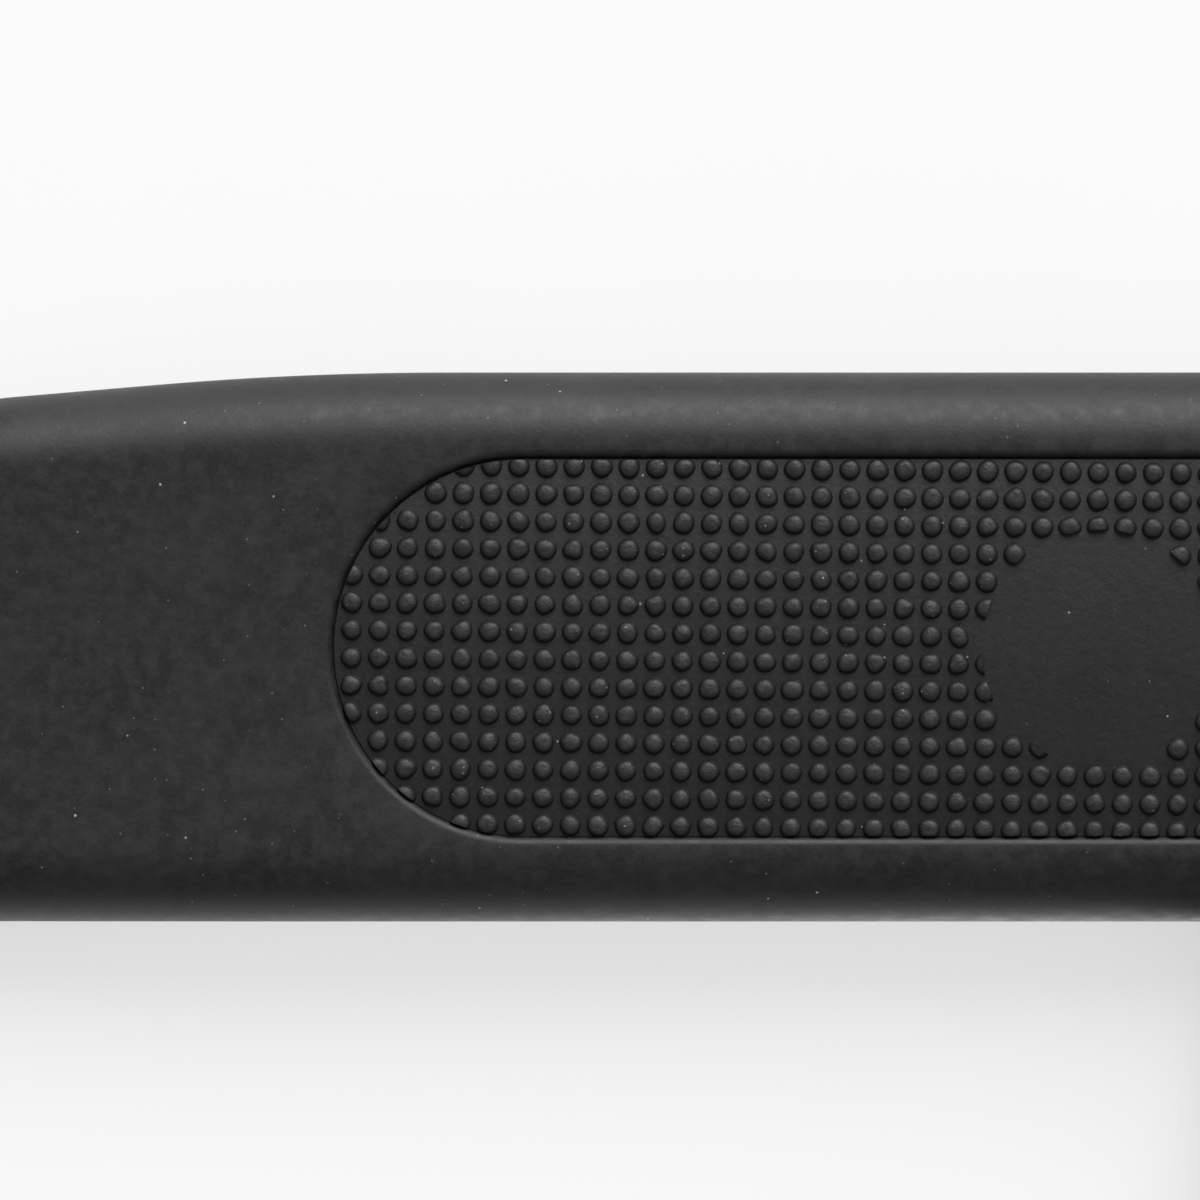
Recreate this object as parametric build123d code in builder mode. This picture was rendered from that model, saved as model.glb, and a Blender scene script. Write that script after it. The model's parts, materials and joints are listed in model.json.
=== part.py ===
"""Running board for a pickup truck: a moulded black board with two nubbed step pads, carried on a
pair of lipped steel rails, their cross members and three bolt-on brackets. All of it is fixed.

Millimetres. X runs along the vehicle, +Y points away from it and +Z is up. The origin is under
the middle of the whole assembly, on the surface that it stands on.
"""

from build123d import *

import os
from math import asin, cos, hypot, radians, sin, tan

os.makedirs("parts", exist_ok=True)

# ---- Board moulding -------------------------------------------------------------------------
board_length = 1830.0
board_width = 160.0
wall = 3.0
edge_roll = 21.0  # radius of the rolled edge all round the tread
rim_width = 25.0  # from the board's edge to a pad's pocket
end_margin = 150.0  # from the board's end to a pad's pocket
taper_angle = 4.8  # the street edge turns in by this much towards each end
taper_lead = 9.0  # and starts this far outside the pocket's end
taper_blend = 1000.0
drop_angle = 2.5  # the tread falls away by this much towards each end
drop_lead = 27.0  # and starts this far outside the pocket's end
drop_blend = 900.0
street_corner = 60.0  # plan radius of the two corners away from the vehicle
vehicle_corner = 30.0
rib_wall = 2.5
rib_pitch = 61.0
rib_gap = 0.5  # from a rib to the side of a rail
rib_foot = 12.0  # height of a rib's lower edge at the street skirt
arm_gap = 1.0  # under the skirt on the vehicle's side, where the bracket arms pass

# ---- Step pads ------------------------------------------------------------------------------
pocket_length = 445.0
pad_recess = 2.0  # from the tread down to the pad's face
pad_thickness = 2.0
pad_gap = 0.4  # all round, between a pad and its pocket
lip_radius = 2.5  # rounded top edge of the pocket
nub_pitch = 8.0
nub_diameter = 6.3
nub_height = 2.2
nub_side = 0.9  # straight part of a nub below its dome
nub_root = 0.5  # how deep a nub's solid starts inside the pad
nub_sliver = 0.3  # a nub whose centre is up to this share of its radius outside is kept, cut off
sheet_skew = -0.64  # degrees that the nubbed sheet was turned by when the pad was cut from it
sheet_shift = (-1.1, -1.1)  # and how far off centre it was
medallion_diameter = 68.6
peg_diameter = 5.8
peg_gap = 0.3  # round a peg in the pocket's floor
peg_length = 6.0  # below the pocket's floor
peg_tip = 0.8
peg_offsets = (60.0, 150.0)  # from a pad's centre, both ways

# ---- Rails and cross members ----------------------------------------------------------------
rail_width = 28.0
rail_height = 18.0
rail_wall = 2.0
rail_slot_gap = 1.0  # each side of a bolt
rail_corner = 3.0
rail_inset = 75.0  # from the board's end to a rail's end
cross_width = 40.0
cross_height = 10.0
cross_wall = 2.0
cross_corner = 3.0
cross_inset = 31.0  # from a rail's end to the middle of the last cross member
plug_plate = 2.0
plug_depth = 10.0
plug_gap = 0.2

# ---- Brackets -------------------------------------------------------------------------------
bracket_pitch = 480.0
arm_width = 50.0
arm_wall = 4.0
arm_depth = 20.0
arm_tip = 7.0  # past the street rail
tip_flange = 6.0  # depth of the arm's side flanges at its tip
tip_taper = 42.0  # length over which they reach full depth
tip_corner = 6.0
bend_radius = 8.0
rocker_space = 94.0  # from the board's edge to the bracket's leg
leg_top = 130.0
leg_corner = 8.0
leg_hole = 9.0
leg_hole_pitch = 40.0
leg_hole_edge = 20.0  # from the leg's top to the upper hole
flange_rise = 32.0  # degrees round the bend at which the side flanges run out
gusset_wall = 4.0
gusset_inset = 4.0  # from the arm's side
gusset_size = 50.0
gusset_clip = 14.0  # cut off its corner, over the arm's bend

# ---- Fasteners ------------------------------------------------------------------------------
bolt_diameter = 8.0
bolt_head_height = 5.0
bolt_head_gap = 0.3  # each side, to drop through the rail's slot before it is turned
bolt_head_room = 2.0  # from each end of the head to the rail's side
bolt_chamfer = 0.8
bolt_spare = 3.2  # past the nut
slot_gap = 0.5  # each side of a bolt in the arm's slot
slot_travel = 7.0  # how far a bracket can be moved across the board
washer_ring = 3.8  # width of a washer's ring
washer_gap = 0.2
washer_wall = 1.6
nut_wall = 2.5  # from a bolt to a flat of its nut
nut_height = 6.8
thread_gap = 0.02  # radial, between a thread's solid and what it screws into
screw_diameter = 4.2
screw_bite = 6.5
screw_head_diameter = 10.0
screw_head_height = 2.8
screw_hole_gap = 0.4
screw_offset = 15.0  # from the board's centre line, both ways
boss_diameter = 9.0
boss_drop = 6.0  # from the rails' top down to a cross member's web
boss_spare = 0.5  # depth of a boss's hole past the screw's end
push_nut_diameter = 14.0
push_nut_wall = 0.8

# ---- Sizes that follow from the fasteners ---------------------------------------------------
rail_slot = bolt_diameter + 2 * rail_slot_gap
bolt_head_length = rail_slot - 2 * bolt_head_gap
bolt_head_width = rail_width - 2 * (rail_wall + bolt_head_room)
adjust_slot_width = bolt_diameter + 2 * slot_gap
adjust_slot_length = adjust_slot_width + slot_travel
washer_bore = bolt_diameter + 2 * washer_gap
washer_diameter = washer_bore + 2 * washer_ring
nut_across_flats = bolt_diameter + 2 * nut_wall
screw_hole = screw_diameter + 2 * screw_hole_gap

# ---- Heights --------------------------------------------------------------------------------
rail_bottom = arm_depth
rail_top = rail_bottom + rail_height
floor_top = rail_top + wall
pad_face = floor_top + pad_thickness
tread = pad_face + pad_recess
web_bottom = arm_depth - arm_wall
cross_top = rail_top - boss_drop

# ---- Lengthwise and crosswise places, from the board's middle -------------------------------
half_length = board_length / 2
half_width = board_width / 2
pocket_width = board_width - 2 * rim_width
pad_length = pocket_length - 2 * pad_gap
pad_width = pocket_width - 2 * pad_gap
pocket_end = half_length - end_margin
pad_x = pocket_end - pocket_length / 2
taper_start = pocket_end + taper_lead
drop_start = pocket_end + drop_lead
rail_y = (pocket_width - rail_width) / 2
rail_half = half_length - rail_inset
cross_half = rail_half - cross_inset
leg_y = half_width + rocker_space
mount_y = leg_y + arm_wall
board_y = (mount_y - half_width) / 2  # centres the assembly on the origin

pads = {"front": pad_x, "rear": -pad_x}
rails = {"outboard": rail_y, "inboard": -rail_y}
brackets = {"front": bracket_pitch, "middle": 0.0, "rear": -bracket_pitch}
cross_xs = [-cross_half, -pad_x, -pad_x / 2, 0.0, pad_x / 2, pad_x, cross_half]


def level(height, x=0.0):
    """A horizontal plane at that height, over the board's centre line."""
    return Plane(origin=(x, board_y, height))


def section(x):
    """An upright plane across the board: its first axis is +Y and its second is +Z."""
    return Plane(origin=(x, board_y, 0), x_dir=(0, 1, 0), z_dir=(1, 0, 0))


def elevation(y=0.0):
    """An upright plane along the board: its first axis is +X and its second is +Z."""
    return Plane(origin=(0, board_y + y, 0), x_dir=(1, 0, 0), z_dir=(0, -1, 0))


def save(part, name):
    part.label = name
    export_step(part, f"parts/{name}.step")


def board_block(inset, base):
    """The board's outline and side view as one solid block, drawn in by inset, with rolled edges."""
    end = half_length - inset
    top = tread - inset
    end_top = top - (end - drop_start) * tan(radians(drop_angle))
    end_y = half_width - (half_length - taper_start) * tan(radians(taper_angle))
    with BuildPart() as block:
        with BuildSketch(level(base)):
            with BuildLine():
                FilletPolyline(
                    (-half_length, -half_width),
                    (-half_length, end_y),
                    (-taper_start, half_width),
                    (taper_start, half_width),
                    (half_length, end_y),
                    (half_length, -half_width),
                    radius=[
                        vehicle_corner,
                        street_corner,
                        taper_blend,
                        taper_blend,
                        street_corner,
                        vehicle_corner,
                    ],
                    close=True,
                )
            make_face()
            if inset:
                offset(amount=-inset)
        extrude(amount=tread - base)
        with BuildSketch(elevation()):
            with BuildLine():
                FilletPolyline(
                    (-end, base),
                    (-end, end_top),
                    (-drop_start, top),
                    (drop_start, top),
                    (end, end_top),
                    (end, base),
                    radius=[0, 0, drop_blend, drop_blend, 0, 0],
                    close=True,
                )
            make_face()
        extrude(amount=board_width, both=True, mode=Mode.INTERSECT)
        lowest_rim = end_top - wall

        def on_rim(edge):
            high = min((edge @ 0).Z, (edge @ 1).Z) > lowest_rim
            across = abs((edge % 0.5).Y) > 0.999 and abs(edge.center().X) < end - wall
            return high and not across

        fillet(block.edges().filter_by(on_rim), radius=edge_roll - inset)
    return block.part


# ---- Board moulding -------------------------------------------------------------------------
outer = board_block(0.0, 0.0)
cavity = board_block(wall, -wall)

rib_count = int(2 * rail_half / rib_pitch) + 1
rib_xs = [(i - (rib_count - 1) / 2) * rib_pitch for i in range(rib_count)]
rail_side = rail_y + rail_width / 2 + rib_gap
peg_points = [(x + s * d, 0) for x in pads.values() for s in (-1, 1) for d in peg_offsets]
screw_points = [(x, y) for x in cross_xs for y in (-screw_offset, screw_offset)]
vehicle_skirt_bottom = arm_depth + arm_gap

with BuildPart() as ribs:
    for x in rib_xs:
        with BuildSketch(section(x)):
            Polygon(
                (-half_width, vehicle_skirt_bottom + wall),
                (-rail_side, vehicle_skirt_bottom + 2 * wall),
                (-rail_side, rail_top),
                (rail_side, rail_top),
                (rail_side, vehicle_skirt_bottom + 2 * wall),
                (half_width, rib_foot),
                (half_width, tread),
                (-half_width, tread),
                align=None,
            )
        extrude(amount=rib_wall / 2, both=True)

with BuildPart() as hollow:
    add(cavity)
    with BuildSketch(level(rail_top)):
        with Locations(*[(x, 0) for x in pads.values()]):
            SlotOverall(pocket_length + 2 * wall, pocket_width + 2 * wall)
    extrude(amount=tread - rail_top, mode=Mode.SUBTRACT)
    with BuildSketch(level(cross_top)):
        with Locations(*screw_points):
            Circle(boss_diameter / 2)
    extrude(amount=tread - cross_top, mode=Mode.SUBTRACT)
    add(ribs.part, mode=Mode.SUBTRACT)

with BuildPart() as board_shell:
    add(outer)
    add(hollow.part, mode=Mode.SUBTRACT)
    with BuildSketch(level(floor_top)):
        with Locations(*[(x, 0) for x in pads.values()]):
            SlotOverall(pocket_length, pocket_width)
    extrude(amount=tread, mode=Mode.SUBTRACT)

    def on_lip(edge):
        middle = edge.center()
        inside = abs(middle.Y - board_y) <= pocket_width / 2 + pad_gap
        return inside and abs(middle.X) <= pocket_end and abs(middle.Z - tread) < pad_gap / 2

    fillet(board_shell.edges().filter_by(on_lip), radius=lip_radius)
    with BuildSketch(level(rail_top)):
        with Locations(*peg_points):
            Circle(peg_diameter / 2 + peg_gap)
    extrude(amount=wall, mode=Mode.SUBTRACT)
    with BuildSketch(level(cross_top)):
        with Locations(*screw_points):
            Circle(screw_diameter / 2 + thread_gap)
    extrude(amount=screw_bite + boss_spare, mode=Mode.SUBTRACT)
    with BuildSketch(level(0)):
        with Locations((0, vehicle_corner - half_width)):
            Rectangle(board_length, board_width, align=(Align.CENTER, Align.MAX))
    extrude(amount=vehicle_skirt_bottom, mode=Mode.SUBTRACT)
save(board_shell.part, "board_shell")


# ---- Step pads ------------------------------------------------------------------------------
def clear_of_edge(x, y):
    """How far inside the pad's outline, and outside the medallion, a point on the pad is."""
    past_middle = max(0.0, abs(x) - (pad_length - pad_width) / 2)
    return min(pad_width / 2 - hypot(past_middle, y), hypot(x, y) - medallion_diameter / 2)


nub_radius = nub_diameter / 2
nub_rows = 2 * (int(pad_width / 2 / nub_pitch) + 2)
nub_columns = 2 * (int(pad_length / 2 / nub_pitch) + 1) + 1
nub_grid = []
for i in range(nub_columns):
    for j in range(nub_rows):
        along = (i - (nub_columns - 1) / 2) * nub_pitch
        across = (j - (nub_rows - 1) / 2) * nub_pitch
        nub_x = along * cos(radians(sheet_skew)) - across * sin(radians(sheet_skew))
        nub_y = along * sin(radians(sheet_skew)) + across * cos(radians(sheet_skew))
        nub_grid.append((nub_x + sheet_shift[0], nub_y + sheet_shift[1]))
whole_nubs = [p for p in nub_grid if clear_of_edge(*p) > nub_radius]
cut_nubs = [p for p in nub_grid if -nub_sliver * nub_radius < clear_of_edge(*p) <= nub_radius]

with BuildPart() as nub:
    rise = nub_height - nub_side
    dome_radius = (nub_radius**2 + rise**2) / (2 * rise)
    shoulder = asin(nub_radius / dome_radius) / 2
    dome_centre = nub_height - dome_radius
    with BuildSketch(Plane.XZ):
        with BuildLine():
            Polyline((0, nub_height), (0, -nub_root), (nub_radius, -nub_root), (nub_radius, nub_side))
            ThreePointArc(
                (nub_radius, nub_side),
                (dome_radius * sin(shoulder), dome_centre + dome_radius * cos(shoulder)),
                (0, nub_height),
            )
        make_face()
    revolve(axis=Axis.Z)

with BuildPart() as trimmed_nubs:
    with Locations(*cut_nubs):
        add(nub.part)
    with BuildSketch(Plane.XY.offset(-nub_root)):
        SlotOverall(pad_length, pad_width)
        Circle(medallion_diameter / 2, mode=Mode.SUBTRACT)
    extrude(amount=nub_root + nub_height, mode=Mode.INTERSECT)

with BuildPart() as step_pad:
    with BuildSketch():
        SlotOverall(pad_length, pad_width)
    extrude(amount=-pad_thickness)
    with BuildSketch(Plane.XY.offset(-pad_thickness)):
        with Locations(*[(s * d, 0) for s in (-1, 1) for d in peg_offsets]):
            Circle(peg_diameter / 2)
    extrude(amount=-(wall + peg_length))
    chamfer(step_pad.faces().sort_by(Axis.Z)[: 2 * len(peg_offsets)].edges(), peg_tip)
    with Locations(*whole_nubs):
        add(nub.part)
    add(trimmed_nubs.part)

for name, x in pads.items():
    save(step_pad.part.moved(Location((x, board_y, pad_face))), f"step_pad_{name}")

with BuildPart() as push_nuts:
    with BuildSketch(level(rail_top)):
        with Locations(*peg_points):
            Circle(push_nut_diameter / 2)
            Circle(peg_diameter / 2 + thread_gap, mode=Mode.SUBTRACT)
    extrude(amount=-push_nut_wall)
save(push_nuts.part, "pad_push_nuts")


# ---- Rails and their end plugs --------------------------------------------------------------
rail_middle = (rail_bottom + rail_top) / 2
for name, y in rails.items():
    with BuildPart() as rail:
        with BuildSketch(section(0)):
            with Locations((y, rail_middle)):
                RectangleRounded(rail_width, rail_height, rail_corner)
                RectangleRounded(
                    rail_width - 2 * rail_wall,
                    rail_height - 2 * rail_wall,
                    rail_corner - rail_wall,
                    mode=Mode.SUBTRACT,
                )
            with Locations((y, rail_bottom)):
                Rectangle(rail_slot, 2 * rail_wall, mode=Mode.SUBTRACT)
        extrude(amount=rail_half, both=True)
    save(rail.part, f"rail_{name}")

with BuildPart() as plugs:
    for side in (-1, 1):
        with BuildSketch(section(side * rail_half)):
            with Locations(*[(y, rail_middle) for y in rails.values()]):
                RectangleRounded(rail_width, rail_height, rail_corner)
        extrude(amount=side * plug_plate)
        with BuildSketch(section(side * rail_half)):
            with Locations(*[(y, rail_middle) for y in rails.values()]):
                RectangleRounded(
                    rail_width - 2 * (rail_wall + plug_gap),
                    rail_height - 2 * (rail_wall + plug_gap),
                    rail_corner - rail_wall,
                )
        extrude(amount=-side * plug_depth)
save(plugs.part, "rail_end_plugs")


# ---- Cross members and the screws that hold the moulding down to them -----------------------
cross_length = 2 * rail_y - rail_width
for number, x in enumerate(cross_xs, 1):
    with BuildPart() as cross:
        with BuildSketch(elevation()):
            with BuildLine():
                side_x = cross_width / 2
                low = cross_top - cross_height
                Polyline((x - side_x, low), (x - side_x, cross_top), (x + side_x, cross_top), (x + side_x, low))
                offset(amount=-cross_wall, side=Side.RIGHT, closed=True)
            make_face()
        extrude(amount=cross_length / 2, both=True)
        fillet(cross.edges().filter_by(Axis.Y).group_by(Axis.Z)[-1], radius=cross_corner)
        with BuildSketch(level(cross_top, x)):
            with Locations((0, -screw_offset), (0, screw_offset)):
                Circle(screw_hole / 2)
        extrude(amount=-cross_wall, mode=Mode.SUBTRACT)
    save(cross.part, f"cross_member_{number}")

head_top = cross_top - cross_wall
with BuildPart() as screws:
    with BuildSketch(level(head_top)):
        with Locations(*screw_points):
            Circle(screw_head_diameter / 2)
    extrude(amount=-screw_head_height)
    fillet(screws.edges().group_by(Axis.Z)[0], radius=screw_head_height / 2)
    with BuildSketch(level(head_top)):
        with Locations(*screw_points):
            Circle(screw_diameter / 2)
    extrude(amount=cross_wall + screw_bite)
save(screws.part, "shell_screws")


# ---- Brackets and their gussets -------------------------------------------------------------
bend_centre = (-(leg_y - bend_radius), arm_depth + bend_radius)
arm_end = rail_y + rail_width / 2 + arm_tip


def round_bend(angle):
    """A point in the middle of the plate, that far round the bend, from level with its centre."""
    radius = bend_radius + arm_wall / 2
    return (
        bend_centre[0] - radius * cos(radians(angle)),
        bend_centre[1] - radius * sin(radians(angle)),
    )


for name, x in brackets.items():
    with BuildPart() as bracket:
        with BuildSketch(section(x)):
            with BuildLine():
                FilletPolyline(
                    (arm_end, web_bottom),
                    (arm_end, arm_depth),
                    (-leg_y, arm_depth),
                    (-leg_y, leg_top),
                    (-mount_y, leg_top),
                    (-mount_y, web_bottom),
                    radius=[0, 0, bend_radius, 0, 0, bend_radius + arm_wall],
                    close=True,
                )
            make_face()
        extrude(amount=arm_width / 2, both=True)
        leg_edges = bracket.edges().filter_by(Axis.Y).group_by(Axis.Z)[-1]
        fillet(leg_edges, radius=leg_corner)
        fillet(bracket.edges().filter_by(Axis.Z).group_by(Axis.Y)[-1], radius=tip_corner)
        for side in (-1, 1):
            inner_face = side * (arm_width / 2 - arm_wall)
            with BuildSketch(section(x + inner_face)):
                with BuildLine():
                    Polyline(
                        round_bend(90),
                        (arm_end - tip_corner, web_bottom + arm_wall / 2),
                        (arm_end - tip_corner, web_bottom - tip_flange),
                        (arm_end - tip_corner - tip_taper, 0),
                        (bend_centre[0], 0),
                        round_bend(flange_rise),
                    )
                    middle_angle = (90 + flange_rise) / 2
                    ThreePointArc(round_bend(flange_rise), round_bend(middle_angle), round_bend(90))
                make_face()
            extrude(amount=side * arm_wall)
        with BuildSketch(level(arm_depth, x)):
            with Locations(*[(0, y) for y in rails.values()]):
                SlotOverall(adjust_slot_length, adjust_slot_width, rotation=90)
        extrude(amount=-arm_wall, mode=Mode.SUBTRACT)
        with BuildSketch(elevation(-leg_y)):
            with Locations(*[(x, leg_top - leg_hole_edge - i * leg_hole_pitch) for i in (0, 1)]):
                Circle(leg_hole / 2)
        extrude(amount=arm_wall, mode=Mode.SUBTRACT)
    save(bracket.part, f"bracket_{name}")

for name, x in brackets.items():
    with BuildPart() as gussets:
        for side in (-1, 1):
            outer_face = side * (arm_width / 2 - gusset_inset)
            with BuildSketch(section(x + outer_face)):
                Polygon(
                    (-leg_y, arm_depth + gusset_clip),
                    (-leg_y, arm_depth + gusset_clip + gusset_size),
                    (-leg_y + gusset_clip + gusset_size, arm_depth),
                    (-leg_y + gusset_clip, arm_depth),
                    align=None,
                )
            extrude(amount=-side * gusset_wall)
    save(gussets.part, f"gussets_{name}")


# ---- Bolts, washers and nuts in the rails' slots --------------------------------------------
lip_top = rail_bottom + rail_wall
washer_bottom = web_bottom - washer_wall
nut_bottom = washer_bottom - nut_height
bolt_end = nut_bottom - bolt_spare
bolt_points = [(x, y) for x in brackets.values() for y in rails.values()]

with BuildPart() as bolts:
    with BuildSketch(level(lip_top)):
        with Locations(*bolt_points):
            Rectangle(bolt_head_length, bolt_head_width)
    extrude(amount=bolt_head_height)
    chamfer(bolts.edges().group_by(Axis.Z)[-1], bolt_chamfer)
    with BuildSketch(level(lip_top)):
        with Locations(*bolt_points):
            Circle(bolt_diameter / 2)
    extrude(amount=bolt_end - lip_top)
    chamfer(bolts.edges().group_by(Axis.Z)[0], bolt_chamfer)
save(bolts.part, "channel_bolts")

with BuildPart() as washers:
    with BuildSketch(level(washer_bottom)):
        with Locations(*bolt_points):
            Circle(washer_diameter / 2)
            Circle(washer_bore / 2, mode=Mode.SUBTRACT)
    extrude(amount=washer_wall)
save(washers.part, "channel_washers")

with BuildPart() as nuts:
    with BuildSketch(level(nut_bottom)):
        with Locations(*bolt_points):
            RegularPolygon(nut_across_flats / 2, 6, major_radius=False)
            Circle(bolt_diameter / 2 + thread_gap, mode=Mode.SUBTRACT)
    extrude(amount=nut_height)
save(nuts.part, "channel_nuts")
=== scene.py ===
import json
import random
from math import atan2, ceil, cos, hypot, pi, radians, sin, sqrt, tan

import bmesh
import bpy
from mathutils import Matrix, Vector
from mathutils.geometry import delaunay_2d_cdt


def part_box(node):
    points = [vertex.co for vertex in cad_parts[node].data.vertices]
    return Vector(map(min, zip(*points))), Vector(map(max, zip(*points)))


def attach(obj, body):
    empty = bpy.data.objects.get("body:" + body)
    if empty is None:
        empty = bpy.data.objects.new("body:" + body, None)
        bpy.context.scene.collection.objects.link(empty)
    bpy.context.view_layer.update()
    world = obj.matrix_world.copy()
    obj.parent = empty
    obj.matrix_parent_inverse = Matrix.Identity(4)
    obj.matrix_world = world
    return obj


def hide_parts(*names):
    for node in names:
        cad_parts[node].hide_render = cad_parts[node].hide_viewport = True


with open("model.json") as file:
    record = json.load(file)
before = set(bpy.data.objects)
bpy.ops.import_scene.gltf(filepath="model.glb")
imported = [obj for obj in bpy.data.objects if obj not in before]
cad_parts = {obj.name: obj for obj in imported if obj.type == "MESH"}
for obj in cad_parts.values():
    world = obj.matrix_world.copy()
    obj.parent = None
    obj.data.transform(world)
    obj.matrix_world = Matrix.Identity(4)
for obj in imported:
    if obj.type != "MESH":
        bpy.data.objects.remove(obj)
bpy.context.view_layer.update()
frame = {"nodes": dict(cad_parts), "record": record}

MM = 0.001

# ---- The part's own sizes, in millimetres -----------------------------------------------------
LENGTH, WIDTH, WALL, ROLL = 1830.0, 160.0, 3.0, 21.0
TREAD, FLOOR, RAIL_TOP = 45.0, 41.0, 38.0
PAD_FACE, PAD_GAP = 43.0, 0.25
LIP = 2.5
STREET_CORNER, VEHICLE_CORNER, TAPER_BLEND = 60.0, 30.0, 1000.0
TAPER_X, TAPER_ANGLE = 774.0, radians(4.8)
DROP_X, DROP_ANGLE, DROP_BLEND = 792.0, radians(2.5), 900.0
POCKET_LENGTH, POCKET_WIDTH, PAD_X = 445.0, 110.0, 542.5
VEHICLE_SKIRT = 21.0
MEDALLION = 34.3
NUB_PITCH, NUB_RADIUS, NUB_HEIGHT = 8.0, 3.15, 2.2
NUB_ROWS, NUB_COLUMNS = 16, 57
SHEET_SKEW, SHEET_SHIFT = radians(-0.64), (-1.1, -1.1)
PEG_OFFSETS = (60.0, 150.0)
RAIL_Y, RAIL_WIDTH = 41.0, 28.0
CROSS_XS = (-809.0, -542.5, -271.25, 0.0, 271.25, 542.5, 809.0)
CROSS_TOP = 32.0
SCREW_Y = 15.0
RIB_PITCH, RIB_COUNT, RIB_WALL, RIB_GAP = 61.0, 28, 2.5, 0.5
# Heights of a rib's lower edge: beside a rail, at the street skirt and at the vehicle skirt.
RIB_INNER_FOOT, RIB_STREET_FOOT, RIB_VEHICLE_FOOT = 27.0, 12.0, 24.0
# A screw boss's radii and heights above the cross member, up to its foot in the moulding.
BOSS_FOOT, BOSS_SINK = 4.8, 1.0
BOSS_TIP = ((4.0, 0.0), (4.5, 0.5))
STEP = 2.5  # between points along a pocket's outline
SKIRT_STEP = 0.1  # length over which the skirt's lower edge steps up

# The board's centre line, halfway between its two long edges.
shell_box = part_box("board_shell")
BOARD_Y = (shell_box[0].y + shell_box[1].y) / 2 / MM

random.seed(7)


# ---- Helpers ----------------------------------------------------------------------------------
def rounded(corners, step):
    """Points round a closed outline, anticlockwise, each with its inward normal.

    corners holds (x, y, radius); step is the longest distance between points.
    """
    count = len(corners)
    arcs = []
    for i, (x, y, r) in enumerate(corners):
        here = Vector((x, y))
        before = Vector(corners[i - 1][:2]) - here
        after = Vector(corners[(i + 1) % count][:2]) - here
        turn = pi - before.angle(after)
        back = r * tan(turn / 2)
        start = here + before.normalized() * back
        inward = Vector((before.y, -before.x)).normalized()
        centre = start + inward * r
        first = atan2(start.y - centre.y, start.x - centre.x)
        arcs.append((centre, r, first, turn))
    path = []
    for i, (centre, r, first, turn) in enumerate(arcs):
        n = max(2, ceil(r * turn / step), ceil(turn / radians(5)))
        for k in range(n + 1):
            a = first + turn * k / n
            path.append((centre.x + r * cos(a), centre.y + r * sin(a), -cos(a), -sin(a)))
        x0, y0, nx, ny = path[-1]
        centre2, r2, first2, _ = arcs[(i + 1) % count]
        x1, y1 = centre2.x + r2 * cos(first2), centre2.y + r2 * sin(first2)
        run = hypot(x1 - x0, y1 - y0)
        n = ceil(run / step)
        for k in range(1, n):
            path.append((x0 + (x1 - x0) * k / n, y0 + (y1 - y0) * k / n, nx, ny))
    clean = []
    for p in path:
        if not clean or hypot(p[0] - clean[-1][0], p[1] - clean[-1][1]) > 1e-4:
            clean.append(p)
    while hypot(clean[0][0] - clean[-1][0], clean[0][1] - clean[-1][1]) < 1e-4:
        clean.pop()
    return clean


def stadium(length, width, step):
    """A slot's outline round the origin, anticlockwise, with inward normals."""
    r, run = width / 2, (length - width) / 2
    path = []
    n = ceil(pi * r / step)
    m = ceil(2 * run / step)
    for side in (1, -1):
        for k in range(n):
            a = -pi / 2 * side + pi * k / n
            if side < 0:
                a = pi / 2 + pi * k / n
            path.append((side * run + r * cos(a), r * sin(a), -cos(a), -sin(a)))
        for k in range(m):
            t = k / m
            path.append((side * run * (1 - 2 * t), side * r, 0.0, -side))
    return path


def circle(x, y, r, z, count):
    turns = [2 * pi * k / count for k in range(count)]
    return [(x + r * cos(a), y + r * sin(a), z) for a in turns]


class Maker:
    """Collects vertices and faces in millimetres over the board's centre line."""

    def __init__(self):
        self.points = []
        self.faces = []

    def ring(self, points):
        start = len(self.points)
        self.points.extend(points)
        return list(range(start, len(self.points)))

    def face(self, loop):
        self.faces.append(tuple(loop))

    def bridge(self, a, b):
        """A strip of faces between two closed rings."""
        n = len(a)
        for i in range(n):
            j = (i + 1) % n
            self.face((a[i], a[j], b[j], b[i]))

    def skin(self, rings):
        for a, b in zip(rings, rings[1:]):
            self.bridge(a, b)

    def tube(self, rings):
        """A skin over the rings, closed at both ends."""
        self.skin(rings)
        self.face(reversed(rings[0]))
        self.face(rings[-1])

    def slab(self, outline, low, high):
        """A closed prism between x = low and x = high, on an outline of (y, z) points."""
        self.tube([self.ring([(x, y, z) for y, z in outline]) for x in (low, high)])

    def build(self, name, weld=0.004, sharp=32):
        """A mesh object, with points nearer than weld joined and edges past sharp degrees crisp."""
        mesh = bpy.data.meshes.new(name)
        verts = [(px * MM, (py + BOARD_Y) * MM, pz * MM) for px, py, pz in self.points]
        mesh.from_pydata(verts, [], self.faces)
        bm = bmesh.new()
        bm.from_mesh(mesh)
        if weld:
            bmesh.ops.remove_doubles(bm, verts=bm.verts, dist=weld * MM)
        bmesh.ops.recalc_face_normals(bm, faces=bm.faces)
        bm.to_mesh(mesh)
        bm.free()
        mesh.polygons.foreach_set("use_smooth", [True] * len(mesh.polygons))
        mesh.set_sharp_from_angle(angle=radians(sharp))
        mesh.update()
        piece = bpy.data.objects.new(name, mesh)
        bpy.context.scene.collection.objects.link(piece)
        return piece


def drop(x):
    """How far the tread has fallen away at x."""
    a = abs(x)
    back = DROP_BLEND * tan(DROP_ANGLE / 2)
    if a <= DROP_X - back:
        return 0.0
    if a < DROP_X + back * cos(DROP_ANGLE):
        return DROP_BLEND - sqrt(DROP_BLEND**2 - (a - DROP_X + back) ** 2)
    return (a - DROP_X) * tan(DROP_ANGLE)


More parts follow.
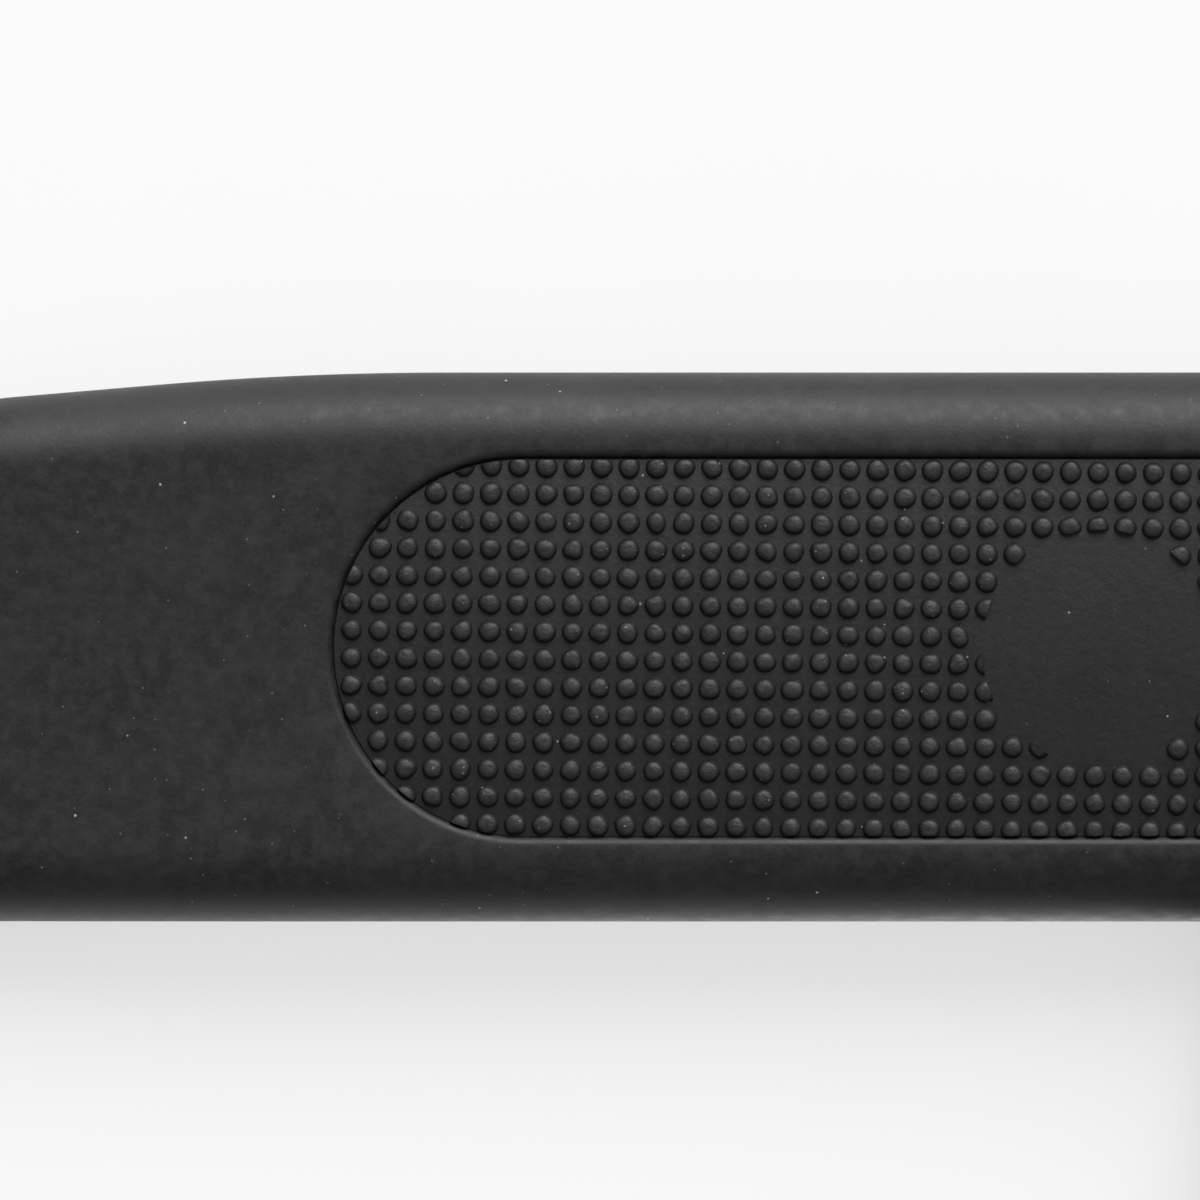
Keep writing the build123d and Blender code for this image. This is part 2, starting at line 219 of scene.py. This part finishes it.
def fill(maker, outline, holes, height, grid=()):
    """Triangles inside an outline and outside its holes, at height(x), meeting their own points."""
    points = [Vector(p) for p in outline]
    edges = [(i, (i + 1) % len(outline)) for i in range(len(outline))]
    for hole in holes:
        start = len(points)
        points.extend(Vector(p) for p in hole)
        edges.extend((start + i, start + (i + 1) % len(hole)) for i in range(len(hole)))
    points.extend(Vector(p) for p in grid)
    verts, _, faces, *_ = delaunay_2d_cdt(points, edges, [], 1, 1e-5)
    ids = maker.ring([(v.x, v.y, height(v.x)) for v in verts])
    for face in faces:
        middle = sum((verts[i] for i in face), Vector((0, 0))) / len(face)
        if any(inside(middle, hole) for hole in holes):
            continue
        maker.face(ids[i] for i in face)


def inside(point, loop):
    """Whether a point is within a closed loop, by counting the edges that it is left of."""
    hit = False
    x, y = point
    for (x0, y0), (x1, y1) in zip(loop, loop[1:] + loop[:1]):
        if (y0 > y) != (y1 > y) and x < x0 + (y - y0) / (y1 - y0) * (x1 - x0):
            hit = not hit
    return hit


# ---- Board moulding ---------------------------------------------------------------------------
half_l, half_w = LENGTH / 2, WIDTH / 2
end_y = half_w - (half_l - TAPER_X) * tan(TAPER_ANGLE)
outline = rounded(
    [
        (-half_l, -half_w, VEHICLE_CORNER),
        (half_l, -half_w, VEHICLE_CORNER),
        (half_l, end_y, STREET_CORNER),
        (TAPER_X, half_w, TAPER_BLEND),
        (-TAPER_X, half_w, TAPER_BLEND),
        (-half_l, end_y, STREET_CORNER),
    ],
    5.0,
)

# The skirt steps up where the bracket arms pass under it, over a doubled point at each end.
step_y = VEHICLE_CORNER - half_w
stepped = []
for i, (x, y, nx, ny) in enumerate(outline):
    low = VEHICLE_SKIRT if y < step_y + 0.01 else 0.0
    previous_y = outline[i - 1][1]
    if low == 0.0 and previous_y < step_y + 0.01:
        stepped.append((x, step_y + SKIRT_STEP, nx, ny, 0.0))
    if low and previous_y > step_y + 0.01 and y < step_y - 0.01:
        stepped.append((x, step_y, nx, ny, VEHICLE_SKIRT))
    if low and abs(y - step_y) < 0.01 and previous_y > y:
        stepped.append((x, step_y + SKIRT_STEP, nx, ny, 0.0))
    stepped.append((x, y, nx, ny, low))


def street_wall(x):
    """The board's outer edge at x, on its street side, as if the taper had no blend."""
    return half_w - max(0.0, abs(x) - TAPER_X) * tan(TAPER_ANGLE)


def layer(inset, below):
    """A ring of the skin, drawn in from the outline, at a depth below the tread."""
    ring = []
    for x, y, nx, ny, _ in stepped:
        px, py = x + nx * inset, y + ny * inset
        ring.append((px, py, TREAD - drop(px) - below))
    return ring


def roll(steps, inset):
    """Insets and depths down the rolled edge of a skin, from its bottom to its flat top."""
    r = ROLL - inset
    out = []
    for k in range(steps + 1):
        a = pi / 2 * k / steps
        out.append((inset + r * (1 - cos(a)), inset + r * (1 - sin(a))))
    return out


def pocket(offset):
    """A pocket's outline round the origin, drawn out by offset, with inward normals."""
    return stadium(POCKET_LENGTH + 2 * offset, POCKET_WIDTH + 2 * offset, STEP)


def mouths(offset):
    """The outlines of both pockets where they lie on the board."""
    return [[(x + x0, y) for x, y, _, _ in pocket(offset)] for x0 in (-PAD_X, PAD_X)]


shell = Maker()
outer = [shell.ring([(x, y, low) for x, y, _, _, low in stepped])]
for inset, below in roll(14, 0.0):
    outer.append(shell.ring(layer(inset, below)))
inner = [shell.ring([(x + nx * WALL, y + ny * WALL, low) for x, y, nx, ny, low in stepped])]
for inset, below in roll(8, WALL):
    inner.append(shell.ring(layer(inset, below)))
shell.skin(outer)
for a, b in zip(inner, inner[1:]):
    shell.bridge(b, a)
shell.bridge(inner[0], outer[0])

# Points over each end of the board, where the tread bends down.
bend_grid = [
    (side * x, y)
    for side in (-1, 1)
    for x in range(770, 880, 6)
    for y in range(-54, 56, 6)
]
top_ring = [shell.points[i][:2] for i in outer[-1]]
fill(shell, top_ring, mouths(LIP), lambda x: TREAD - drop(x), bend_grid)
under_ring = [shell.points[i][:2] for i in inner[-1]]
fill(shell, under_ring, mouths(WALL), lambda x: TREAD - WALL - drop(x), bend_grid)

for x0 in (-PAD_X, PAD_X):
    # Down the rounded lip and the wall, and across the floor.
    levels = []
    for k in range(7):
        a = pi / 2 * k / 6
        levels.append((LIP * sin(a), TREAD - LIP * (1 - cos(a))))
    levels.append((LIP, FLOOR))
    lip = []
    for inset, z in levels:
        path = [(x + x0 + nx * inset, y + ny * inset, z) for x, y, nx, ny in pocket(LIP)]
        lip.append(shell.ring(path))
    shell.skin(lip)
    shell.face(lip[-1])
    # The tub that it makes under the tread.
    high = shell.ring([(x + x0, y, TREAD - WALL) for x, y, _, _ in pocket(WALL)])
    low = shell.ring([(x + x0, y, RAIL_TOP) for x, y, _, _ in pocket(WALL)])
    shell.bridge(high, low)
    shell.face(low)


def tub_half(x):
    """Half the width of a pocket's underside at x, or 0 clear of both."""
    past = max(0.0, abs(abs(x) - PAD_X) - (POCKET_LENGTH - POCKET_WIDTH) / 2)
    r = POCKET_WIDTH / 2 + WALL
    return sqrt(r * r - past * past) if past < r else 0.0


# Ribs run from beside a rail out to the skirt, and over the rail in to the tub. Their edges end
# halfway through the moulding's wall.
rail_side = RAIL_Y + RAIL_WIDTH / 2 + RIB_GAP
buried = WALL / 2
for i in range(RIB_COUNT):
    x = (i - (RIB_COUNT - 1) / 2) * RIB_PITCH
    top = TREAD - drop(x)
    r = ROLL - buried
    sides = ((1, street_wall(x), RIB_STREET_FOOT), (-1, half_w, RIB_VEHICLE_FOOT))
    for side, wall_y, foot in sides:
        reach = wall_y - buried
        slope = (foot - RIB_INNER_FOOT) / (half_w - rail_side)
        profile = [(rail_side, RAIL_TOP + RIB_GAP), (rail_side, RIB_INNER_FOOT)]
        profile.append((reach, RIB_INNER_FOOT + slope * (reach - rail_side)))
        for k in range(7):
            a = pi / 2 * k / 6
            profile.append((wall_y - ROLL + r * cos(a), top - ROLL + r * sin(a)))
        edge = min(max(tub_half(x) - buried, 0.0), profile[-1][0])
        profile.append((edge, top - buried))
        if edge < rail_side:
            profile.extend([(edge, RAIL_TOP), (rail_side, RAIL_TOP)])
        else:
            profile.append((edge, RAIL_TOP + RIB_GAP))
        loop = [(side * y, z) for y, z in profile]
        shell.slab(loop[::side], x - RIB_WALL / 2, x + RIB_WALL / 2)

for x in CROSS_XS:
    for y in (-SCREW_Y, SCREW_Y):
        roof = RAIL_TOP if tub_half(x) > SCREW_Y + BOSS_FOOT else TREAD - WALL - drop(x)
        levels = [(r, CROSS_TOP + z) for r, z in BOSS_TIP] + [(BOSS_FOOT, roof + BOSS_SINK)]
        shell.tube([shell.ring(circle(x, y, r, z, 32)) for r, z in levels])

board = shell.build("board_moulding")
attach(board, "root")
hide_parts("board_shell")


# ---- Step pads --------------------------------------------------------------------------------
PAD_LENGTH = POCKET_LENGTH - 2 * PAD_GAP
PAD_WIDTH = POCKET_WIDTH - 2 * PAD_GAP
PAD_RUN = (PAD_LENGTH - PAD_WIDTH) / 2
EDGE_R = 0.2
FOOT_BEVEL = 0.3
PAD_SLIP = 0.2  # how far the pad has slid in its pocket, towards the vehicle
PEG_LEVELS = ((2.1, 32.0), (2.9, 32.8), (2.9, FLOOR + 0.5))  # radii and heights, from its tip up


def room(x, y):
    """How far inside the pad's edge, and outside its medallion, a point is."""
    past = max(0.0, abs(x) - PAD_RUN)
    return min(PAD_WIDTH / 2 - hypot(past, y), hypot(x, y) - MEDALLION)


def kept(x, y):
    """The nearest place to that point that is inside the pad's edge and outside its medallion."""
    far = hypot(x, y)
    if far < MEDALLION:
        if far < 1e-6:
            return MEDALLION, 0.0
        x, y = x * MEDALLION / far, y * MEDALLION / far
    middle = max(-PAD_RUN, min(PAD_RUN, x))
    out = hypot(x - middle, y)
    limit = PAD_WIDTH / 2 - EDGE_R
    if out > limit:
        x, y = middle + (x - middle) * limit / out, y * limit / out
    return x, y


# Radius and height of a nub's rings, as shares of the nub's own.
NUB_RINGS = (
    (1.04, -0.12), (1.00, 0.02), (0.945, 0.12), (0.915, 0.26), (0.89, 0.42), (0.845, 0.56),
    (0.77, 0.69), (0.665, 0.80), (0.535, 0.885), (0.38, 0.945), (0.20, 0.985),
)

# How far a nub strays from round, by the number of lobes.
NUB_WAVES = ((2, 0.035), (3, 0.026), (4, 0.017), (5, 0.008))
NUB_SIDES = 28
NUB_BULGE = 1.12  # the widest that a nub gets, as a share of its radius
NUB_LEAN = 1.6  # how far its top goes over for each millimetre of lean
NUB_SLIVER = 0.3  # a nub whose centre is up to this share of its radius outside is kept, cut off


def add_nub(maker, x0, y0):
    """One nub, each a little different, as rubber comes out of a well-used mould."""
    size = NUB_RADIUS * random.uniform(0.98, 1.06)
    tall = NUB_HEIGHT * random.uniform(0.86, 0.98)
    lean_x, lean_y = random.gauss(0, 0.14), random.gauss(0.12, 0.16)
    waves = [(k, random.gauss(0, size_k), random.uniform(0, 2 * pi)) for k, size_k in NUB_WAVES]
    peak = random.gauss(0, 0.04)
    rings = []
    for share, high in NUB_RINGS:
        blunt = 1 - share
        ring = []
        for k in range(NUB_SIDES):
            a = 2 * pi * k / NUB_SIDES
            wave = sum(size_k * cos(n * a + phase) for n, size_k, phase in waves)
            r = size * share * (1 + wave * (0.35 + 0.65 * (1 - abs(0.8 - share))))
            r = min(r, NUB_RADIUS * NUB_BULGE)
            x = x0 + r * cos(a) + lean_x * blunt * NUB_LEAN
            y = y0 + r * sin(a) + lean_y * blunt * NUB_LEAN
            z = PAD_FACE + tall * high * (1 + peak * blunt)
            x, y = kept(x, y)
            ring.append((x, y, min(z, PAD_FACE + NUB_HEIGHT)))
        rings.append(maker.ring(ring))
    maker.skin(rings)
    x, y = kept(x0 + lean_x * NUB_LEAN, y0 + lean_y * NUB_LEAN)
    apex = maker.ring([(x, y, PAD_FACE + min(NUB_HEIGHT, tall * (1 + peak)))])[0]
    last = rings[-1]
    for k in range(NUB_SIDES):
        maker.face((last[k], last[(k + 1) % NUB_SIDES], apex))
    maker.face(reversed(rings[0]))


def make_pad(name, node, x0):
    """A pad and its pegs and nubs, in the pocket at x0."""
    pad = Maker()
    rings = []
    for inset, z in ((FOOT_BEVEL, FLOOR), (0.0, FLOOR + FOOT_BEVEL), (0.0, PAD_FACE - EDGE_R)):
        path = stadium(PAD_LENGTH - 2 * inset, PAD_WIDTH - 2 * inset, STEP)
        rings.append(pad.ring([(x, y, z) for x, y, _, _ in path]))
    for k in range(1, 4):
        a = pi / 2 * k / 3
        path = stadium(PAD_LENGTH, PAD_WIDTH, STEP)
        inset = EDGE_R * (1 - cos(a))
        z = PAD_FACE - EDGE_R * (1 - sin(a))
        rings.append(pad.ring([(x + nx * inset, y + ny * inset, z) for x, y, nx, ny in path]))
    pad.tube(rings)
    for s in (-1, 1):
        for d in PEG_OFFSETS:
            pad.tube([pad.ring(circle(s * d, 0, r, z, 28)) for r, z in PEG_LEVELS])
    for i in range(NUB_COLUMNS):
        for j in range(NUB_ROWS):
            along = (i - (NUB_COLUMNS - 1) / 2) * NUB_PITCH
            across = (j - (NUB_ROWS - 1) / 2) * NUB_PITCH
            x = along * cos(SHEET_SKEW) - across * sin(SHEET_SKEW) + SHEET_SHIFT[0]
            y = along * sin(SHEET_SKEW) + across * cos(SHEET_SKEW) + SHEET_SHIFT[1]
            if room(x, y) > -NUB_SLIVER * NUB_RADIUS:
                add_nub(pad, x, y)
    pad.points = [(x + x0, y - PAD_SLIP, z) for x, y, z in pad.points]
    piece = pad.build(name, weld=0, sharp=50)
    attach(piece, "root")
    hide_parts(node)
    return piece


pad_pieces = [
    make_pad("pad_front", "step_pad_front", PAD_X),
    make_pad("pad_rear", "step_pad_rear", -PAD_X),
]


# ---- Materials --------------------------------------------------------------------------------
class Nodes:
    """A short way to write a material's nodes."""

    def __init__(self, name):
        self.material = bpy.data.materials.new(name)
        self.material.use_nodes = True
        self.tree = self.material.node_tree
        self.shader = self.tree.nodes["Principled BSDF"]
        self.place = self.add("ShaderNodeTexCoord").outputs["Object"]

    def add(self, kind, **settings):
        node = self.tree.nodes.new(kind)
        for key, value in settings.items():
            if key in node.inputs and not hasattr(node, key):
                node.inputs[key].default_value = value
            else:
                setattr(node, key, value)
        return node

    def link(self, a, b):
        self.tree.links.new(a, b)

    def noise(self, scale, detail=4.0, rough=0.55, stretch=None):
        node = self.add("ShaderNodeTexNoise")
        node.inputs["Scale"].default_value = scale
        node.inputs["Detail"].default_value = detail
        node.inputs["Roughness"].default_value = rough
        source = self.place
        if stretch:
            mapping = self.add("ShaderNodeMapping")
            mapping.inputs["Scale"].default_value = stretch
            self.link(source, mapping.inputs["Vector"])
            source = mapping.outputs["Vector"]
        self.link(source, node.inputs["Vector"])
        return node.outputs["Fac"]

    def ramp(self, value, low, high, a=0.0, b=1.0):
        node = self.add("ShaderNodeMapRange")
        node.inputs["From Min"].default_value = low
        node.inputs["From Max"].default_value = high
        node.inputs["To Min"].default_value = a
        node.inputs["To Max"].default_value = b
        self.link(value, node.inputs["Value"])
        return node.outputs["Result"]

    def mix(self, fac, a, b):
        node = self.add("ShaderNodeMix", data_type="RGBA")
        for socket, value in ((node.inputs[6], a), (node.inputs[7], b)):
            if isinstance(value, tuple):
                socket.default_value = (*value, 1.0)
            else:
                self.link(value, socket)
        self.link(fac, node.inputs[0])
        return node.outputs[2]

    def math(self, operation, a, b):
        node = self.add("ShaderNodeMath", operation=operation)
        for socket, value in ((node.inputs[0], a), (node.inputs[1], b)):
            if isinstance(value, (int, float)):
                socket.default_value = value
            else:
                self.link(value, socket)
        return node.outputs[0]

    def specks(self, scale, size, share):
        """1 in small round specks, in that share of the cells of a grid."""
        cells = self.add("ShaderNodeTexVoronoi")
        cells.inputs["Scale"].default_value = scale
        cells.inputs["Randomness"].default_value = 1.0
        self.link(self.place, cells.inputs["Vector"])
        near = self.ramp(cells.outputs["Distance"], size, size * 0.5)
        split = self.add("ShaderNodeSeparateColor")
        self.link(cells.outputs["Color"], split.inputs[0])
        chosen = self.math("LESS_THAN", split.outputs[0], share)
        return self.math("MULTIPLY", near, chosen)

    def bump(self, height, strength, distance, onto=None):
        node = self.add("ShaderNodeBump")
        node.inputs["Strength"].default_value = strength
        node.inputs["Distance"].default_value = distance
        self.link(height, node.inputs["Height"])
        if onto:
            self.link(onto, node.inputs["Normal"])
        return node.outputs["Normal"]

    def finish(self, color, roughness, normal=None, **fixed):
        self.link(color, self.shader.inputs["Base Color"])
        self.link(roughness, self.shader.inputs["Roughness"])
        if normal:
            self.link(normal, self.shader.inputs["Normal"])
        for key, value in fixed.items():
            self.shader.inputs[key.replace("_", " ")].default_value = value
        return self.material


def board_plastic():
    n = Nodes("board_plastic")
    cloud = n.noise(9.0, 6.0, 0.62)
    smudge = n.noise(46.0, 5.0, 0.6)
    blotch = n.noise(210.0, 4.0, 0.65)
    grain = n.noise(900.0, 3.0, 0.6)
    dust = n.specks(120.0, 0.06, 0.36)
    fine_dust = n.specks(300.0, 0.11, 0.24)
    base = n.mix(n.ramp(cloud, 0.32, 0.68), (0.0026, 0.0026, 0.0027), (0.0085, 0.0085, 0.0087))
    base = n.mix(n.ramp(smudge, 0.42, 0.74, 0.0, 0.75), base, (0.021, 0.021, 0.021))
    base = n.mix(n.ramp(blotch, 0.44, 0.72, 0.0, 0.85), base, (0.029, 0.029, 0.029))
    base = n.mix(n.ramp(grain, 0.35, 0.65, 0.0, 0.6), base, (0.018, 0.018, 0.018))
    base = n.mix(n.math("MULTIPLY", dust, 0.85), base, (0.50, 0.50, 0.49))
    base = n.mix(n.math("MULTIPLY", fine_dust, 0.45), base, (0.24, 0.24, 0.235))
    uneven = n.ramp(blotch, 0.35, 0.70, -0.06, 0.09)
    rough = n.math("ADD", n.ramp(cloud, 0.3, 0.7, 0.48, 0.57), uneven)
    normal = n.bump(grain, 0.45, 0.00015)
    normal = n.bump(n.noise(150.0, 4.0, 0.5), 0.14, 0.0005, normal)
    return n.finish(base, rough, normal, Specular_IOR_Level=0.5)


def pad_rubber():
    n = Nodes("pad_rubber")
    cloud = n.noise(30.0, 5.0, 0.6)
    grain = n.noise(1100.0, 3.0, 0.65)
    patch = n.noise(330.0, 4.0, 0.65)
    dust = n.specks(360.0, 0.14, 0.30)
    lint = n.specks(170.0, 0.07, 0.34)
    split = n.add("ShaderNodeSeparateXYZ")
    n.link(n.place, split.inputs[0])
    # The nub tops, picked out by height, are painted lighter: partly rubbed wear, partly a painted
    # highlight. Dust specks also gather more thickly there.
    worn_and_highlight_top = n.ramp(split.outputs["Z"], (PAD_FACE + 0.6) * MM, (PAD_FACE + 0.85 * NUB_HEIGHT) * MM)
    base = n.mix(n.ramp(cloud, 0.3, 0.7), (0.0058, 0.0058, 0.0059), (0.0108, 0.0108, 0.0110))
    base = n.mix(n.ramp(grain, 0.35, 0.65, 0.0, 0.4), base, (0.023, 0.023, 0.023))
    rubbed_and_highlight = n.math("MULTIPLY", worn_and_highlight_top, n.ramp(patch, 0.35, 0.7, 0.2, 1.0))
    base = n.mix(rubbed_and_highlight, base, (0.036, 0.036, 0.036))
    dusty = n.math("MULTIPLY", dust, n.ramp(worn_and_highlight_top, 0.0, 1.0, 0.10, 0.75))
    base = n.mix(dusty, base, (0.27, 0.27, 0.265))
    base = n.mix(n.math("MULTIPLY", lint, 0.75), base, (0.42, 0.42, 0.41))
    rough = n.ramp(patch, 0.3, 0.75, 0.46, 0.60)
    normal = n.bump(grain, 0.35, 0.00015)
    uneven = n.math("MULTIPLY", patch, n.ramp(worn_and_highlight_top, 0.0, 1.0, 0.3, 1.0))
    normal = n.bump(uneven, 0.75, 0.0007, normal)
    return n.finish(base, rough, normal, Specular_IOR_Level=0.5)


def rail_steel():
    n = Nodes("rail_steel")
    spangle = n.add("ShaderNodeTexVoronoi")
    spangle.inputs["Scale"].default_value = 130.0
    n.link(n.place, spangle.inputs["Vector"])
    split = n.add("ShaderNodeSeparateColor")
    n.link(spangle.outputs["Color"], split.inputs[0])
    cloud = n.noise(14.0, 6.0, 0.6)
    streak = n.noise(60.0, 4.0, 0.6, stretch=(0.12, 1.0, 1.0))
    base = n.mix(n.ramp(split.outputs[0], 0.0, 1.0), (0.40, 0.41, 0.425), (0.56, 0.57, 0.58))
    base = n.mix(n.ramp(cloud, 0.45, 0.75, 0.0, 0.6), base, (0.33, 0.335, 0.34))
    base = n.mix(n.ramp(streak, 0.5, 0.8, 0.0, 0.35), base, (0.62, 0.63, 0.63))
    dull = n.ramp(cloud, 0.4, 0.8, 0.0, 0.14)
    rough = n.math("ADD", n.ramp(split.outputs[0], 0.0, 1.0, 0.30, 0.42), dull)
    normal = n.bump(n.noise(700.0, 3.0, 0.6), 0.12, 0.0002)
    return n.finish(base, rough, normal, Metallic=1.0)


def bracket_paint():
    n = Nodes("bracket_paint")
    peel = n.noise(420.0, 3.0, 0.5)
    cloud = n.noise(18.0, 5.0, 0.6)
    scuff = n.noise(85.0, 6.0, 0.7, stretch=(1.0, 0.35, 1.0))
    dust = n.specks(160.0, 0.05, 0.1)
    base = n.mix(n.ramp(cloud, 0.3, 0.7), (0.014, 0.014, 0.0145), (0.021, 0.021, 0.0215))
    base = n.mix(n.ramp(scuff, 0.6, 0.78, 0.0, 0.5), base, (0.06, 0.06, 0.06))
    base = n.mix(n.math("MULTIPLY", dust, 0.5), base, (0.3, 0.3, 0.29))
    rough = n.math("ADD", n.ramp(cloud, 0.3, 0.7, 0.30, 0.38), n.ramp(scuff, 0.55, 0.8, 0.0, 0.2))
    normal = n.bump(peel, 0.35, 0.0003)
    return n.finish(base, rough, normal)


def fastener_zinc():
    n = Nodes("fastener_zinc")
    cloud = n.noise(70.0, 5.0, 0.6)
    fine = n.noise(900.0, 3.0, 0.6)
    base = n.mix(n.ramp(cloud, 0.3, 0.7), (0.52, 0.53, 0.55), (0.70, 0.70, 0.68))
    base = n.mix(n.ramp(fine, 0.55, 0.8, 0.0, 0.5), base, (0.42, 0.42, 0.41))
    rough = n.ramp(fine, 0.3, 0.7, 0.22, 0.36)
    normal = n.bump(fine, 0.1, 0.0001)
    return n.finish(base, rough, normal, Metallic=1.0)


def plug_plastic():
    n = Nodes("plug_plastic")
    cloud = n.noise(60.0, 5.0, 0.6)
    grain = n.noise(1000.0, 3.0, 0.6)
    base = n.mix(n.ramp(cloud, 0.3, 0.7), (0.022, 0.022, 0.022), (0.034, 0.034, 0.034))
    rough = n.ramp(grain, 0.3, 0.7, 0.42, 0.55)
    normal = n.bump(grain, 0.25, 0.00015)
    return n.finish(base, rough, normal)


finishes = {
    "board_plastic": board_plastic(),
    "pad_rubber": pad_rubber(),
    "rail_steel": rail_steel(),
    "bracket_paint": bracket_paint(),
    "fastener_zinc": fastener_zinc(),
    "plug_plastic": plug_plastic(),
}
for row in frame["record"]["subparts"]:
    node = frame["nodes"][row["node"]]
    node.data.materials.clear()
    node.data.materials.append(finishes[row["material_slot"]])
board.data.materials.append(finishes["board_plastic"])
for piece in pad_pieces:
    piece.data.materials.append(finishes["pad_rubber"])


# ---- Floor, light and camera ------------------------------------------------------------------
FLOOR_REACH = 9  # metres each way
floor_mesh = bpy.data.meshes.new("floor")
corners = [(-FLOOR_REACH, -FLOOR_REACH), (FLOOR_REACH, -FLOOR_REACH)]
corners += [(FLOOR_REACH, FLOOR_REACH), (-FLOOR_REACH, FLOOR_REACH)]
floor_mesh.from_pydata([(x, y, 0) for x, y in corners], [], [(0, 1, 2, 3)])
floor = bpy.data.objects.new("floor", floor_mesh)
bpy.context.scene.collection.objects.link(floor)
n = Nodes("floor_paper")
paper = n.mix(n.noise(3.0), (0.93, 0.93, 0.93), (0.95, 0.95, 0.95))
n.finish(paper, n.ramp(n.noise(8.0), 0.3, 0.7, 0.7, 0.8))
# From below the floor is clear, so that the underside can be looked at.
clear = n.add("ShaderNodeMixShader")
n.link(n.add("ShaderNodeNewGeometry").outputs["Backfacing"], clear.inputs[0])
n.link(n.shader.outputs[0], clear.inputs[1])
n.link(n.add("ShaderNodeBsdfTransparent").outputs[0], clear.inputs[2])
n.link(clear.outputs[0], n.tree.nodes["Material Output"].inputs["Surface"])
floor_mesh.materials.append(n.material)


whole = bpy.data.collections.new("whole")
for piece in (board, *pad_pieces, *frame["nodes"].values()):
    whole.objects.link(piece)
sweep = bpy.data.collections.new("sweep")
sweep.objects.link(floor)


def add_lamp(name, kind, direction, power, lit, blocked_by=None):
    """A lamp that lights one collection. Everything blocks it, unless blocked_by says what does."""
    light = bpy.data.lights.new(name, kind)
    light.energy = power
    lamp = bpy.data.objects.new(name, light)
    lamp.rotation_mode = "QUATERNION"
    lamp.rotation_quaternion = Vector(direction).to_track_quat("-Z", "Y")
    lamp.light_linking.receiver_collection = lit
    lamp.light_linking.blocker_collection = blocked_by
    bpy.context.scene.collection.objects.link(lamp)
    return lamp


# The same soft key lights the board and, more weakly, the floor, which has a wash of its own. So
# the floor is white and the shadow on it light, as on a studio's sweep.
KEY, KEY_SPREAD, WASH_SPREAD = (-0.22, -0.81, -0.58), radians(50), radians(60)
add_lamp("key", "SUN", KEY, 3.4, whole).data.angle = KEY_SPREAD
add_lamp("key_on_floor", "SUN", KEY, 1.1, sweep).data.angle = KEY_SPREAD
add_lamp("floor_wash", "SUN", (0, 0, -1), 1.85, sweep, sweep).data.angle = WASH_SPREAD

# A light under the floor, which the floor doesn't block, shows the underside.
UNDER_PLACE = Vector((0.9, -1.1, -1.7))
under = add_lamp("under", "AREA", -UNDER_PLACE, 60.0, whole, whole)
under.location = UNDER_PLACE
under.data.shape = "RECTANGLE"
under.data.size, under.data.size_y = 3.0, 2.0

world = bpy.data.worlds.new("studio")
world.use_nodes = True
world.node_tree.nodes["Background"].inputs["Color"].default_value = (1, 1, 1, 1)
world.node_tree.nodes["Background"].inputs["Strength"].default_value = 0.24
bpy.context.scene.world = world
bpy.context.scene.view_settings.view_transform = "Standard"

# The camera looks straight down on one end of the tread, through a long lens.
VIEW_X, VIEW_Y = -687.5, 13.7  # from the board's middle and its centre line, in millimetres
VIEW_WIDTH = 0.3478  # metres of the tread that the picture spans
camera_data = bpy.data.cameras.new("camera")
camera_data.lens = 400.0
camera_data.sensor_width = 36.0
camera_data.clip_start, camera_data.clip_end = 0.1, 50.0
height = TREAD * MM + VIEW_WIDTH * camera_data.lens / camera_data.sensor_width
camera = bpy.data.objects.new("camera", camera_data)
camera.location = (VIEW_X * MM, (BOARD_Y + VIEW_Y) * MM, height)
bpy.context.scene.collection.objects.link(camera)
bpy.context.scene.camera = camera
